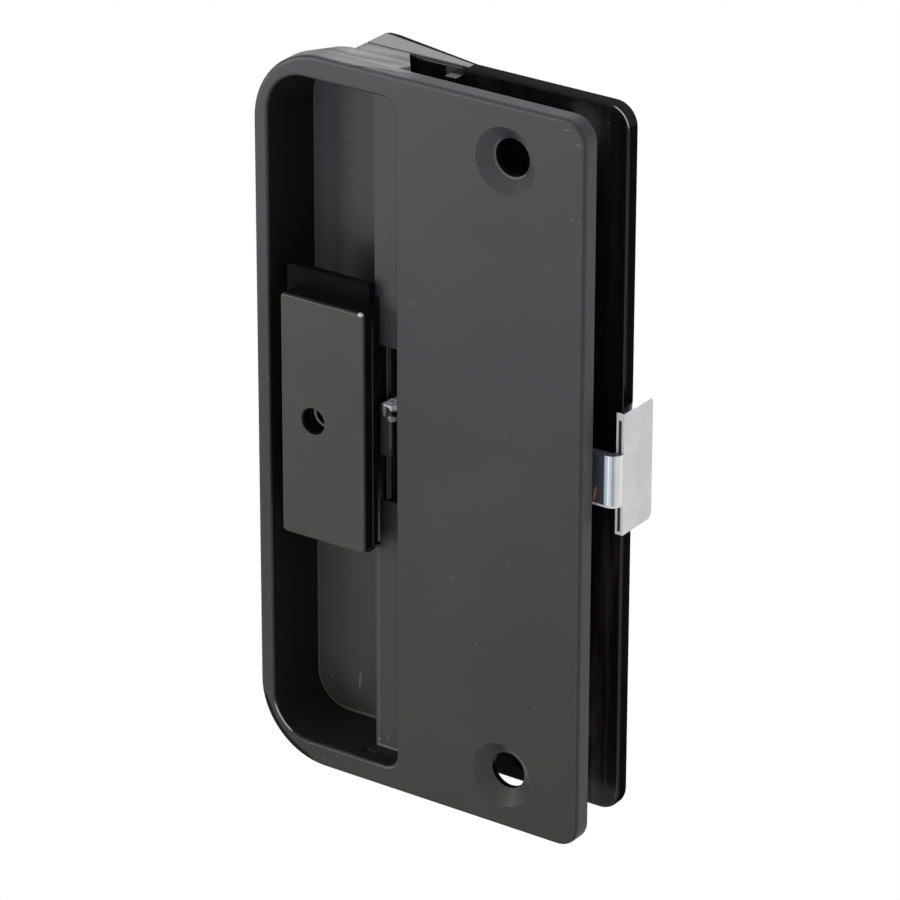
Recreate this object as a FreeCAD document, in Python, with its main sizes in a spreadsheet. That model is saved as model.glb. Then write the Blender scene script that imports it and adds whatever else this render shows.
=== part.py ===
import FreeCAD, Part
import math
import os
import Sketcher

# Sliding screen door pull: an inside housing with a finger recess and a sprung thumb latch,
# and an outside pull that closes the back of the housing.
# Every body is drawn in one drawing frame. Its X runs right from the housing's left edge, its Y runs
# from the front face toward the outside of the door, and its Z runs up from the housing's lower edge.
# The body's Placement then moves the origin to the middle of the two screw holes, on the back of the
# housing's face plate, where the door is clamped.

# Driving dimensions in millimetres, angles in degrees
DIMENSIONS = [
    ("housing_width", 45.0),
    ("housing_height", 89.6),
    ("face_thickness", 2.2),
    ("corner_right", 2.8),
    ("corner_left", 9.2),
    ("cup_width", 20.3),
    ("cup_depth", 8.8),
    ("cup_floor", 0.9),
    ("cup_draft", 12.0),
    ("cup_slant", 4.8),
    ("cup_edge_round", 2.6),
    ("rim_side", 1.9),
    ("rim_end", 2.8),
    ("opening_right", 19.7),
    ("opening_corner", 1.8),
    ("recess_corner", 5.2),
    ("recess_draft", 6.0),
    ("ledge_left", 15.5),
    ("notch_depth", 0.4),
    ("notch_gap", 0.6),
    ("slot_height", 19.4),
    ("latch_raise", 1.0),
    ("screw_inset", 10.5),
    ("screw_end", 6.7),
    ("screw_hole_dia", 4.5),
    ("countersink_dia", 8.0),
    ("countersink_angle", 100.0),
    ("face_round", 0.5),
    ("recess_round", 0.35),
    ("pull_left", 9.5),
    ("pull_step", 0.9),
    ("pull_thickness", 1.85),
    ("pull_corner", 2.8),
    ("pull_round", 0.4),
    ("pull_front_round", 0.5),
    ("grip_rise", 2.4),
    ("grip_crest", 1.6),
    ("grip_run", 12.8),
    ("grip_round", 0.7),
    ("core_left", 11.0),
    ("core_right", 16.8),
    ("core_depth", 1.4),
    ("core_end", 4.0),
    ("boss_dia", 7.0),
    ("boss_height", 2.0),
    ("screw_pilot_dia", 3.0),
    ("screw_pilot_depth", 3.0),
    ("locating_rib_gap", 1.4),
    ("locating_rib_width", 1.5),
    ("locating_rib_height", 2.0),
    ("locating_rib_end", 0.7),
    ("pin_dia", 1.3),
    ("pin_x", 16.8),
    ("pin_y", 3.2),
    ("pin_seat", 3.0),
    ("pin_end_gap", 0.1),
    ("pin_seat_clearance", 0.02),
    ("pin_chamfer", 0.15),
    ("snap_width", 1.2),
    ("sheet", 1.0),
    ("strap_height", 6.4),
    ("strap_left", 6.2),
    ("strap_front", 0.8),
    ("jog_start", 18.45),
    ("jog_angle", 60.0),
    ("arm_front", 3.6),
    ("head_stand", 2.3),
    ("head_end", 11.0),
    ("head_height", 15.0),
    ("head_raise", 0.6),
    ("head_corner", 0.8),
    ("wing_gap", 1.45),
    ("bend_inner", 0.4),
    ("ear_left", 15.65),
    ("ear_end", 4.5),
    ("ear_round", 0.9),
    ("ear_bore_clearance", 0.05),
    ("spring_wire", 0.4),
    ("spring_bore_clearance", 0.10),
    ("spring_pitch", 0.6),
    ("spring_turns", 5.264),
    ("spring_start_angle", -95.0),
    ("spring_press_leg", 3.0),
    ("spring_anchor_leg", 4.2),
    ("key_left", 5.0),
    ("key_right", 16.6),
    ("key_height", 30.1),
    ("key_proud", 2.0),
    ("key_corner", 0.6),
    ("key_round", 0.3),
    ("skirt_left", 4.0),
    ("skirt_right", 15.5),
    ("skirt_height", 33.6),
    ("skirt_raise", 0.6),
    ("skirt_thickness", 1.0),
    ("skirt_corner", 0.4),
    ("key_hole_x", 9.5),
    ("key_hole_dia", 3.3),
    ("strap_hole_dia", 3.2),
    ("key_slot_clearance", 0.03),
]
NUMBERS = dict(DIMENSIONS)
VOLUME_STEP = 0.5
SMALLEST_CHANGE = 0.1
EDGE_TOLERANCE = 0.02
TURN = 360.0
HEXAGON_RISE = math.sqrt(3.0) / 2

document = FreeCAD.newDocument("ScreenDoorPull")
sheet = document.addObject("Spreadsheet::Sheet", "Sizes")


class Size:
    """A length that carries its number and the spreadsheet words it comes from."""

    def __init__(self, text, value):
        self.text = text
        self.value = value

    def join(self, sign, other, value):
        return Size("(" + self.text + " " + sign + " " + other.text + ")", value)

    def __add__(self, other):
        other = plain(other)
        return self.join("+", other, self.value + other.value)

    def __sub__(self, other):
        other = plain(other)
        return self.join("-", other, self.value - other.value)

    def __mul__(self, other):
        other = plain(other)
        return self.join("*", other, self.value * other.value)

    def __truediv__(self, other):
        other = plain(other)
        return self.join("/", other, self.value / other.value)


def plain(value):
    """A bare number as a Size, so that both kinds can be added."""
    if isinstance(value, Size):
        return value
    return Size(str(float(value)), float(value))


def size(name):
    """One driving dimension."""
    return Size("Sizes." + name, NUMBERS[name])


def tangent(angle):
    """The tangent of an angle given in degrees."""
    return Size("tan(" + angle.text + " * 1 deg)", math.tan(math.radians(angle.value)))


def cosine(angle):
    """The cosine of an angle given in degrees."""
    return Size("cos(" + angle.text + " * 1 deg)", math.cos(math.radians(angle.value)))


def latch_middle():
    """Height of the latch's middle: the key, the strap and the window share it."""
    return size("housing_height") / 2 + size("latch_raise")


def fill_sheet():
    """Write every driving dimension into the spreadsheet with its word as alias."""
    for row, (name, value) in enumerate(DIMENSIONS, start=1):
        sheet.set("A" + str(row), name)
        sheet.set("B" + str(row), str(value))
        sheet.setAlias("B" + str(row), name)
    document.recompute()


# Helpers for bodies, sketches and features

ZERO = plain(0.0)


def new_body(name):
    """An empty body whose Placement carries the drawing frame to the screw holes."""
    body = document.addObject("PartDesign::Body", name)
    body.Label = name
    place(body, ZERO - (size("housing_width") - size("screw_inset")), ZERO - size("face_thickness"),
          ZERO - size("housing_height") / 2)
    return body


def place(body, x, y, z):
    """Bind a body's position to the spreadsheet."""
    body.setExpression("Placement.Base.x", x.text)
    body.setExpression("Placement.Base.y", y.text)
    body.setExpression("Placement.Base.z", z.text)


def new_sketch(body, name, plane, offset=ZERO):
    """A sketch on one origin plane of the body, moved along that plane's normal."""
    sketch = body.newObject("Sketcher::SketchObject", name)
    datum = [item for item in body.Origin.OriginFeatures if item.Role == plane][0]
    sketch.AttachmentSupport = [(datum, "")]
    sketch.MapMode = "FlatFace"
    sketch.setExpression("AttachmentOffset.Base.z", offset.text)
    return sketch


def bind(sketch, kind, geometry, point, value):
    """Hold one coordinate of a point, measured from the sketch origin, at a bound size."""
    index = sketch.addConstraint(Sketcher.Constraint(kind, -1, 1, geometry, point, value.value))
    sketch.setExpression("Constraints[" + str(index) + "]", value.text)


def pin_point(sketch, geometry, point, x, y):
    bind(sketch, "DistanceX", geometry, point, x)
    bind(sketch, "DistanceY", geometry, point, y)


def heading(start, end):
    """Unit direction, along one sketch axis, from one corner to the next."""
    across = end[0].value - start[0].value
    along = end[1].value - start[1].value
    length = math.hypot(across, along)
    return across / length, along / length


def moved(corner, direction, distance):
    """A corner moved along a direction by a bound distance."""
    return (corner[0] + distance * direction[0], corner[1] + distance * direction[1])


def add_outline(sketch, corners):
    """Closed outline; a corner is (x, y) or (x, y, radius), the radius only where edges meet square."""
    count = len(corners)
    ends = []
    for index, corner in enumerate(corners):
        before = heading(corners[index - 1], corner)
        after = heading(corner, corners[(index + 1) % count])
        if len(corner) == 3:
            radius = corner[2]
            entry = moved(corner, before, ZERO - radius)
            leave = moved(corner, after, radius)
            centre = moved(entry, after, radius)
            turning = before[0] * after[1] - before[1] * after[0]
            ends.append((entry, leave, centre, radius, turning > 0))
        else:
            ends.append((corner, corner, None, None, None))
    lines = []
    for index in range(count):
        start = ends[index][1]
        end = ends[(index + 1) % count][0]
        line = sketch.addGeometry(Part.LineSegment(vector(start), vector(end)))
        pin_point(sketch, line, 1, start[0], start[1])
        lines.append(line)
    for index in range(count):
        entry, leave, centre, radius, left_turn = ends[index]
        before = lines[index - 1]
        after = lines[index]
        if centre is None:
            sketch.addConstraint(Sketcher.Constraint("Coincident", before, 2, after, 1))
        else:
            pin_point(sketch, before, 2, entry[0], entry[1])
            add_corner(sketch, (entry, leave, centre, radius, left_turn), before, after)


def add_corner(sketch, corner, before, after):
    """Round one square corner between two lines."""
    entry, leave, centre, radius, left_turn = corner
    first, last = (entry, leave) if left_turn else (leave, entry)
    circle = Part.Circle(vector(centre), FreeCAD.Vector(0, 0, 1), radius.value)
    arc = Part.ArcOfCircle(circle, angle_of(centre, first), angle_of(centre, last))
    item = sketch.addGeometry(arc)
    near, far = (1, 2) if left_turn else (2, 1)
    sketch.addConstraint(Sketcher.Constraint("Coincident", item, near, before, 2))
    sketch.addConstraint(Sketcher.Constraint("Coincident", item, far, after, 1))
    bind(sketch, "DistanceX", item, 3, centre[0])


def vector(point):
    return FreeCAD.Vector(point[0].value, point[1].value, 0)


def angle_of(centre, point):
    return math.atan2(point[1].value - centre[1].value, point[0].value - centre[0].value)


def add_box(sketch, left, bottom, right, top, radius=None):
    """A rectangle, with all corners rounded when a radius is given."""
    corners = [(left, bottom), (right, bottom), (right, top), (left, top)]
    if radius is not None:
        corners = [corner + (radius,) for corner in corners]
    add_outline(sketch, corners)


def add_circle(sketch, x, y, diameter):
    """A circle held by its centre and diameter."""
    circle = Part.Circle(FreeCAD.Vector(x.value, y.value, 0), FreeCAD.Vector(0, 0, 1), diameter.value / 2)
    index = sketch.addGeometry(circle)
    pin_point(sketch, index, 3, x, y)
    held = sketch.addConstraint(Sketcher.Constraint("Diameter", index, diameter.value))
    sketch.setExpression("Constraints[" + str(held) + "]", diameter.text)


def add_wire(sketch, x, y, diameter):
    """A six-sided wire section, so that a fine spring keeps few faces."""
    half = diameter / 2
    side = half / 2
    rise = half * HEXAGON_RISE
    add_outline(sketch, [(x + half, y), (x + side, y + rise), (x - side, y + rise), (x - half, y),
                         (x - side, y - rise), (x + side, y - rise)])


def volume_of(body):
    if body.Tip is None or body.Shape.isNull():
        return 0.0
    return body.Shape.Volume


def add_feature(body, kind, sketch, name, length, backward):
    """Pad or pocket a sketch by a bound length and check that the volume went the right way."""
    before = volume_of(body)
    feature = body.newObject("PartDesign::" + kind, name)
    feature.Profile = sketch
    feature.Reversed = backward
    feature.setExpression("Length", length.text)
    sketch.Visibility = False
    body.Tip = feature
    document.recompute()
    change = body.Shape.Volume - before
    if (kind == "Pad") != (change > 0) or abs(change) < SMALLEST_CHANGE:
        raise RuntimeError(name + " changed the volume by " + str(change))
    return feature


def edges_where(feature, keep):
    """Names of the feature's edges that a test accepts."""
    edges = feature.Shape.Edges
    return ["Edge" + str(index) for index, edge in enumerate(edges, start=1) if keep(edge)]


def round_edges(body, name, radius, keep):
    """Fillet the chosen edges of the body's tip."""
    base = body.Tip
    names = edges_where(base, keep)
    if not names:
        raise RuntimeError(name + " found no edges")
    feature = body.newObject("PartDesign::Fillet", name)
    feature.Base = (base, names)
    feature.setExpression("Radius", radius.text)
    body.Tip = feature
    document.recompute()
    if "Invalid" in feature.State or feature.Shape.isNull():
        raise RuntimeError(name + " failed")
    return feature


def near(value, target):
    return abs(value - target) < EDGE_TOLERANCE


def lies_at_y(edge, y):
    """True for an edge that lies in one plane of constant depth."""
    box = edge.BoundBox
    return near(box.YMin, y) and near(box.YMax, y)


# Inside housing: face plate, finger recess and screw holes, one moulding

def build_inside_housing():
    body = new_body("inside_housing")
    add_face_and_cup(body)
    add_recess(body)
    add_latch_window(body)
    add_pin_seats(body)
    soften_housing(body)
    add_screw_holes(body)
    return body


def add_face_and_cup(body):
    """The flat face plate, the drafted cup behind its left half and the square seat for the pull."""
    width = size("housing_width")
    height = size("housing_height")
    left = size("corner_left")
    right = size("corner_right")
    face = size("face_thickness")
    depth = size("cup_depth")
    sketch = new_sketch(body, "face_outline", "XZ_Plane")
    add_outline(sketch, [(ZERO, ZERO, left), (width, ZERO, right), (width, height, right), (ZERO, height, left)])
    add_feature(body, "Pad", sketch, "face_plate", face, True)
    cup_right = size("cup_width")
    sketch = new_sketch(body, "cup_outline", "XZ_Plane", ZERO - face)
    add_outline(sketch, [(ZERO, ZERO, left), (cup_right, ZERO), (cup_right, height), (ZERO, height, left)])
    cup = add_feature(body, "Pad", sketch, "cup_block", depth - face, True)
    straight = body.Shape.Volume
    cup.setExpression("TaperAngle", (ZERO - size("cup_draft")).text)
    document.recompute()
    if body.Shape.Volume >= straight:
        raise RuntimeError("the draft widens the cup")
    round_edges(body, "cup_back_round", size("cup_edge_round"), cup_back_edge)
    sketch = new_sketch(body, "pull_seat_outline", "XZ_Plane", ZERO - face)
    step = size("pull_step")
    add_box(sketch, size("pull_left"), step, cup_right, height - step)
    add_feature(body, "Pad", sketch, "pull_seat", depth - face, True)
    sketch = new_sketch(body, "slant_outline", "XY_Plane")
    far = cup_right + size("cup_slant")
    add_outline(sketch, [(cup_right, face), (far, face), (far, depth), (cup_right - size("cup_slant"), depth)])
    add_feature(body, "Pocket", sketch, "slanted_side", height, True)


def cup_back_edge(edge):
    """True for the cup's back edges on the left, at the top and at the bottom."""
    return lies_at_y(edge, NUMBERS["cup_depth"]) and edge.BoundBox.XMin < NUMBERS["cup_width"] / 2


def add_recess(body):
    """The finger recess, opening wide at the front and narrower behind the ledge."""
    height = size("housing_height")
    side = size("rim_side")
    end = size("rim_end")
    corner = size("recess_corner")
    small = size("opening_corner")
    right = size("opening_right")
    ledge = size("ledge_left")
    top = height - end
    sketch = new_sketch(body, "opening_outline", "XZ_Plane")
    inside = ledge - small
    add_outline(sketch, [(inside, end), (right, end, small), (right, top, small), (inside, top)])
    add_feature(body, "Pocket", sketch, "recess_opening", size("face_thickness"), False)
    floor = size("cup_depth") - size("cup_floor")
    sketch = new_sketch(body, "recess_outline", "XZ_Plane")
    add_outline(sketch, [(side, end, corner), (ledge, end), (ledge, top), (side, top, corner)])
    recess = add_feature(body, "Pocket", sketch, "finger_recess", floor, False)
    straight = body.Shape.Volume
    recess.setExpression("TaperAngle", (ZERO - size("recess_draft")).text)
    document.recompute()
    if body.Shape.Volume <= straight:
        raise RuntimeError("the draft widens the recess")
    sketch = new_sketch(body, "notch_outline", "XZ_Plane")
    half = size("key_height") / 2 + size("notch_gap")
    add_box(sketch, ledge - size("notch_depth"), latch_middle() - half, ledge + size("notch_depth"),
            latch_middle() + half)
    add_feature(body, "Pocket", sketch, "key_notch", floor, False)


def add_latch_window(body):
    """The slot through the ledge and the cup's right side, open to the back for fitting the pin."""
    middle = latch_middle()
    half = size("slot_height") / 2
    sketch = new_sketch(body, "window_outline", "XZ_Plane", ZERO - size("face_thickness"))
    add_box(sketch, size("ledge_left"), middle - half, size("cup_width") + size("cup_slant"), middle + half)
    add_feature(body, "Pocket", sketch, "latch_window", size("cup_depth"), False)


def add_pin_seats(body):
    """Round seats above and below the window, reached from the back through a tighter snap slot."""
    middle = latch_middle()
    reach = size("slot_height") / 2 + size("pin_seat")
    half_snap = size("snap_width") / 2
    x = size("pin_x")
    y = size("pin_y")
    sketch = new_sketch(body, "snap_outline", "XZ_Plane", ZERO - y)
    add_box(sketch, x - half_snap, middle - reach, x + half_snap, middle + reach)
    add_feature(body, "Pocket", sketch, "snap_slots", size("cup_depth"), False)
    sketch = new_sketch(body, "seat_outline", "XY_Plane", middle - reach)
    add_circle(sketch, x, y, size("pin_dia") + size("pin_seat_clearance") * 2)
    add_feature(body, "Pocket", sketch, "pin_seats", reach * 2, True)


def soften_housing(body):
    """Round the face plate's outer front edge and the recess's front edge."""
    width = NUMBERS["housing_width"]
    opening = NUMBERS["opening_right"]

    def outer_front(edge):
        box = edge.BoundBox
        outside = box.XMin < EDGE_TOLERANCE or box.XMax > width - EDGE_TOLERANCE or box.ZMin < EDGE_TOLERANCE
        return lies_at_y(edge, 0.0) and (outside or box.ZMax > NUMBERS["housing_height"] - EDGE_TOLERANCE)

    def recess_front(edge):
        return lies_at_y(edge, 0.0) and edge.BoundBox.XMax < opening + EDGE_TOLERANCE and not outer_front(edge)

    round_edges(body, "front_edge_round", size("face_round"), outer_front)
    round_edges(body, "recess_edge_round", size("recess_round"), recess_front)


def add_screw_holes(body):
    """Two countersunk screw holes, drilled from the front face."""
    before = body.Shape.Volume
    x = size("housing_width") - size("screw_inset")
    middle = size("housing_height") / 2
    half = middle - size("screw_end")
    sketch = new_sketch(body, "screw_centres", "XZ_Plane")
    add_circle(sketch, x, middle - half, size("screw_hole_dia"))
    add_circle(sketch, x, middle + half, size("screw_hole_dia"))
    document.recompute()
    hole = body.newObject("PartDesign::Hole", "screw_holes")
    hole.Profile = sketch
    document.recompute()
    hole.ThreadType = "None"
    hole.DepthType = "ThroughAll"
    hole.HoleCutType = "Countersink"
    hole.HoleCutCustomValues = True
    hole.setExpression("Diameter", size("screw_hole_dia").text)
    hole.setExpression("HoleCutDiameter", size("countersink_dia").text)
    hole.setExpression("HoleCutCountersinkAngle", size("countersink_angle").text)
    hole.Reversed = False
    body.Tip = hole
    document.recompute()
    if body.Shape.Volume >= before - VOLUME_STEP:
        hole.Reversed = True
        document.recompute()
    if body.Shape.Volume >= before - VOLUME_STEP:
        raise RuntimeError("the screw holes cut nothing")


# Outside pull: flat plate with a wedge grip, closing the back of the housing

def build_outside_pull():
    body = new_body("outside_pull")
    left = size("pull_left")
    right = size("housing_width")
    back = size("cup_depth")
    bottom = size("pull_step")
    top = size("housing_height") - size("pull_step")
    corner = size("pull_corner")
    thickness = size("pull_thickness")
    sketch = new_sketch(body, "pull_outline", "XZ_Plane", ZERO - back)
    add_outline(sketch, [(left, bottom), (right, bottom, corner), (right, top, corner), (left, top)])
    add_feature(body, "Pad", sketch, "pull_plate", thickness, True)
    outer = back + thickness
    crest = outer + size("grip_rise")
    sketch = new_sketch(body, "grip_outline", "XY_Plane", bottom)
    add_outline(sketch, [(left, back + thickness / 2), (left + size("grip_run"), back + thickness / 2),
                         (left + size("grip_run"), outer), (left + size("grip_crest"), crest), (left, crest)])
    add_feature(body, "Pad", sketch, "wedge_grip", top - bottom, False)
    add_pull_core(body, back, bottom, top)
    add_pull_bosses(body, back)
    add_locating_rib(body, back, bottom, top)
    soften_pull(body)
    return body


def add_pull_core(body, back, bottom, top):
    """A shallow core behind the grip, so that the moulding's wall stays even."""
    end = size("core_end")
    sketch = new_sketch(body, "core_outline", "XZ_Plane", ZERO - back)
    add_box(sketch, size("core_left"), bottom + end, size("core_right"), top - end, size("core_depth") / 2)
    add_feature(body, "Pocket", sketch, "grip_core", size("core_depth"), False)


def add_pull_bosses(body, back):
    """Bosses toward the housing that take the two screws."""
    x = size("housing_width") - size("screw_inset")
    middle = size("housing_height") / 2
    half = middle - size("screw_end")
    face = back - size("boss_height")
    sketch = new_sketch(body, "boss_outline", "XZ_Plane", ZERO - face)
    for z in (middle - half, middle + half):
        add_circle(sketch, x, z, size("boss_dia"))
    add_feature(body, "Pad", sketch, "screw_bosses", size("boss_height") + size("pull_thickness") / 2, True)
    sketch = new_sketch(body, "pilot_outline", "XZ_Plane", ZERO - face)
    for z in (middle - half, middle + half):
        add_circle(sketch, x, z, size("screw_pilot_dia"))
    add_feature(body, "Pocket", sketch, "screw_pilots", size("screw_pilot_depth"), False)


def add_locating_rib(body, back, bottom, top):
    """A low rib beside the cup that keeps the two halves in line."""
    left = size("cup_width") + size("locating_rib_gap")
    right = left + size("locating_rib_width")
    end = size("locating_rib_end")
    height = size("locating_rib_height")
    sketch = new_sketch(body, "rib_outline", "XZ_Plane", ZERO - (back - height))
    add_box(sketch, left, bottom + end, right, top - end)
    add_feature(body, "Pad", sketch, "locating_rib", height + size("pull_thickness") / 2, True)


def soften_pull(body):
    """Round the grip's crest and the plate's outer edges."""
    outer = NUMBERS["cup_depth"] + NUMBERS["pull_thickness"]
    crest = outer + NUMBERS["grip_rise"]
    low = NUMBERS["pull_step"]
    length = NUMBERS["housing_height"] - 2 * low

    def crest_edge(edge):
        box = edge.BoundBox
        return near(box.YMin, crest) and near(box.YMax, crest) and near(box.ZLength, length)

    def outer_edge(edge):
        return lies_at_y(edge, outer) and edge.BoundBox.XMax > NUMBERS["pull_left"] + NUMBERS["grip_run"] + 1

    def front_edge(edge):
        box = edge.BoundBox
        at_end = box.ZMin < low + EDGE_TOLERANCE or box.ZMax > low + length - EDGE_TOLERANCE
        beyond = box.XMax > NUMBERS["housing_width"] - EDGE_TOLERANCE
        return lies_at_y(edge, NUMBERS["cup_depth"]) and (at_end or beyond) and box.XMax > NUMBERS["cup_width"]

    round_edges(body, "crest_round", size("grip_round"), crest_edge)
    round_edges(body, "plate_round", size("pull_round"), outer_edge)
    round_edges(body, "plate_front_round", size("pull_front_round"), front_edge)


# Hinge pin and torsion spring

def build_hinge_pin():
    body = new_body("hinge_pin")
    middle = latch_middle()
    half = size("slot_height") / 2 + size("pin_seat") - size("pin_end_gap")
    sketch = new_sketch(body, "pin_outline", "XY_Plane", middle - half)
    add_circle(sketch, size("pin_x"), size("pin_y"), size("pin_dia"))
    add_feature(body, "Pad", sketch, "pin_rod", half * 2, False)
    base = body.Tip
    chamfer = body.newObject("PartDesign::Chamfer", "pin_ends")
    chamfer.Base = (base, edges_where(base, lambda edge: near(edge.BoundBox.ZLength, 0.0)))
    chamfer.setExpression("Size", size("pin_chamfer").text)
    body.Tip = chamfer
    document.recompute()
    return body


def build_torsion_spring():
    """Coil round the pin between the latch's ears, one leg on the key, one leg in the window."""
    body = document.addObject("PartDesign::Body", "torsion_spring")
    body.Label = "torsion_spring"
    coil = size("spring_pitch") * size("spring_turns")
    place(body, size("pin_x") - (size("housing_width") - size("screw_inset")),
          size("pin_y") - size("face_thickness"), size("latch_raise") - coil / 2)
    mean = (size("pin_dia") + size("spring_wire")) / 2 + size("spring_bore_clearance")
    start = size("spring_start_angle")
    sketch = new_sketch(body, "wire_outline", "XZ_Plane")
    add_wire(sketch, mean, ZERO, size("spring_wire"))
    document.recompute()
    helix = body.newObject("PartDesign::AdditiveHelix", "coil")
    helix.Profile = sketch
    helix.ReferenceAxis = (sketch, ["V_Axis"])
    helix.Mode = "pitch-turns-angle"
    helix.setExpression("Pitch", size("spring_pitch").text)
    helix.setExpression("Turns", size("spring_turns").text)
    helix.LeftHanded = False
    helix.Reversed = False
    body.Tip = helix
    sketch.Visibility = False
    document.recompute()
    add_spring_legs(body, mean, coil)
    body.setExpression("Placement.Rotation.Angle", start.text + " * 1 deg")
    document.recompute()
    return body


def add_spring_legs(body, mean, coil):
    """Straight legs that leave both ends of the coil along its tangent."""
    sketch = new_sketch(body, "press_leg_outline", "XZ_Plane")
    add_wire(sketch, mean, ZERO, size("spring_wire"))
    add_feature(body, "Pad", sketch, "press_leg", size("spring_press_leg"), False)
    turns = size("spring_turns")
    sketch = new_sketch(body, "anchor_leg_outline", "XZ_Plane")
    add_wire(sketch, mean, coil, size("spring_wire"))
    last_turn = FreeCAD.Rotation(FreeCAD.Vector(0, 1, 0), turns.value % 1.0 * TURN)
    sketch.AttachmentOffset = FreeCAD.Placement(FreeCAD.Vector(0, 0, 0), last_turn)
    sketch.setExpression("AttachmentOffset.Rotation.Angle", "mod(" + turns.text + "; 1) * " + str(TURN) + " deg")
    add_feature(body, "Pad", sketch, "anchor_leg", size("spring_anchor_leg"), True)


# Thumb key and plated latch strip

def build_thumb_key():
    body = new_body("thumb_key")
    left = size("key_left")
    right = size("key_right")
    middle = latch_middle()
    half = size("key_height") / 2
    joint = size("strap_front")
    proud = size("key_proud")
    sketch = new_sketch(body, "pad_outline", "XZ_Plane", proud)
    add_box(sketch, left, middle - half, right, middle + half, size("key_corner"))
    add_feature(body, "Pad", sketch, "key_pad", proud + joint, True)
    round_edges(body, "pad_round", size("key_round"), lambda edge: lies_at_y(edge, -NUMBERS["key_proud"]))
    sketch = new_sketch(body, "skirt_outline", "XZ_Plane", ZERO - joint)
    half = size("skirt_height") / 2
    centre = middle + size("skirt_raise")
    add_box(sketch, size("skirt_left"), centre - half, size("skirt_right"), centre + half, size("skirt_corner"))
    add_feature(body, "Pad", sketch, "key_skirt", size("skirt_thickness"), True)
    add_strap_slot(body)
    sketch = new_sketch(body, "key_hole_outline", "XZ_Plane", proud)
    add_circle(sketch, size("key_hole_x"), middle, size("key_hole_dia"))
    add_feature(body, "Pocket", sketch, "key_hole", proud + joint + size("skirt_thickness"), False)
    return body


def add_strap_slot(body):
    """The slot in the skirt that holds the steel strap."""
    gap = size("key_slot_clearance")
    middle = latch_middle()
    half = size("strap_height") / 2 + gap
    front = size("strap_front")
    sketch = new_sketch(body, "strap_slot_outline", "XY_Plane", middle - half)
    add_box(sketch, size("strap_left") - gap, front, size("key_right") + gap, front + size("sheet") + gap)
    add_feature(body, "Pocket", sketch, "strap_slot", half * 2, True)


def build_latch_strip():
    body = new_body("latch_strip")
    middle = latch_middle()
    half = size("strap_height") / 2
    sketch = new_sketch(body, "strap_path", "XY_Plane", middle - half)
    add_outline(sketch, strap_corners())
    add_feature(body, "Pad", sketch, "strap", half * 2, False)
    bend_strap(body)
    add_head_wings(body, middle)
    add_ears(body, middle, half)
    sketch = new_sketch(body, "strap_hole_outline", "XZ_Plane", ZERO - size("strap_front"))
    add_circle(sketch, size("key_hole_x"), middle, size("strap_hole_dia"))
    add_feature(body, "Pocket", sketch, "strap_hole", size("sheet"), False)
    return body


def strap_corners():
    """Plan of the folded strap: front leg, slanted jog, arm and the head's return."""
    sheet_size = size("sheet")
    front = size("strap_front")
    arm = size("arm_front")
    slope = tangent(size("jog_angle"))
    rise = arm - front
    start = size("jog_start")
    end = start + rise / slope
    shift = sheet_size * (plain(1.0) / cosine(size("jog_angle")) - plain(1.0)) / slope
    outer = size("housing_width") + size("head_stand")
    return [
        (size("strap_left"), front), (start, front), (end, arm), (outer, arm), (outer, size("head_end")),
        (outer - sheet_size, size("head_end")), (outer - sheet_size, arm + sheet_size),
        (end - shift, arm + sheet_size), (start - shift, front + sheet_size),
        (size("strap_left"), front + sheet_size),
    ]


def bend_strap(body):
    """Give every fold an inside and an outside bend radius."""
    inner = size("bend_inner")
    corners = strap_corners()
    inside = [corners[1], corners[6], corners[7]]
    outside = [corners[2], corners[3], corners[8]]

    def stands_at(points):
        def test(edge):
            box = edge.BoundBox
            return box.ZLength > NUMBERS["sheet"] and any(
                near(box.XMin, x.value) and near(box.XMax, x.value) and near(box.YMin, y.value) for x, y in points)
        return test

    round_edges(body, "outside_bends", inner + size("sheet"), stands_at([outside[1]]))
    round_edges(body, "inside_bends", inner, stands_at([inside[1]]))
    round_edges(body, "jog_bends", inner, stands_at([inside[0], inside[2], outside[0], outside[2]]))


def add_head_wings(body, middle):
    """The wide head: the return leg grown above and below the arm."""
    outer = size("housing_width") + size("head_stand")
    half = size("head_height") / 2
    centre = middle + size("head_raise")
    start = size("arm_front") + size("wing_gap")
    sketch = new_sketch(body, "head_outline", "YZ_Plane", outer - size("sheet"))
    end = size("head_end")
    corner = size("head_corner")
    add_outline(sketch, [(start, centre - half), (end, centre - half, corner), (end, centre + half, corner),
                         (start, centre + half)])
    add_feature(body, "Pad", sketch, "head", size("sheet"), False)


def add_ears(body, middle, half):
    """Two ears folded back from the strap's edges, bored for the hinge pin."""
    front = size("strap_front")
    left = size("ear_left")
    right = size("jog_start")
    end = size("ear_end")
    radius = size("ear_round")
    thick = size("sheet")
    for name, base in (("upper_ear", middle + half - thick), ("lower_ear", middle - half)):
        sketch = new_sketch(body, name + "_outline", "XY_Plane", base)
        add_outline(sketch, [(left, front), (right, front), (right, end, radius), (left, end, radius)])
        add_feature(body, "Pad", sketch, name, thick, False)
    sketch = new_sketch(body, "ear_bore_outline", "XY_Plane", middle - half)
    add_circle(sketch, size("pin_x"), size("pin_y"), size("pin_dia") + size("ear_bore_clearance") * 2)
    add_feature(body, "Pocket", sketch, "ear_bores", half * 2, True)


# Building, checking and writing

def check_and_write(bodies):
    """Stop on any failed object, then write one STEP file per body."""
    document.recompute()
    for item in document.Objects:
        if "Invalid" in item.State or "Error" in item.State:
            raise RuntimeError(item.Name + " is not valid")
    os.makedirs("parts", exist_ok=True)
    for body in bodies:
        shape = body.Shape
        if shape.isNull() or not shape.isValid() or len(shape.Solids) != 1:
            raise RuntimeError(body.Label + " has no single valid solid")
        shape.exportStep("parts/" + body.Label + ".step")
        box = shape.BoundBox
        corners = [round(value, 2) for value in (box.XMin, box.XMax, box.YMin, box.YMax, box.ZMin, box.ZMax)]
        print(body.Label, "volume", round(shape.Volume, 1), "box", corners)


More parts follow.
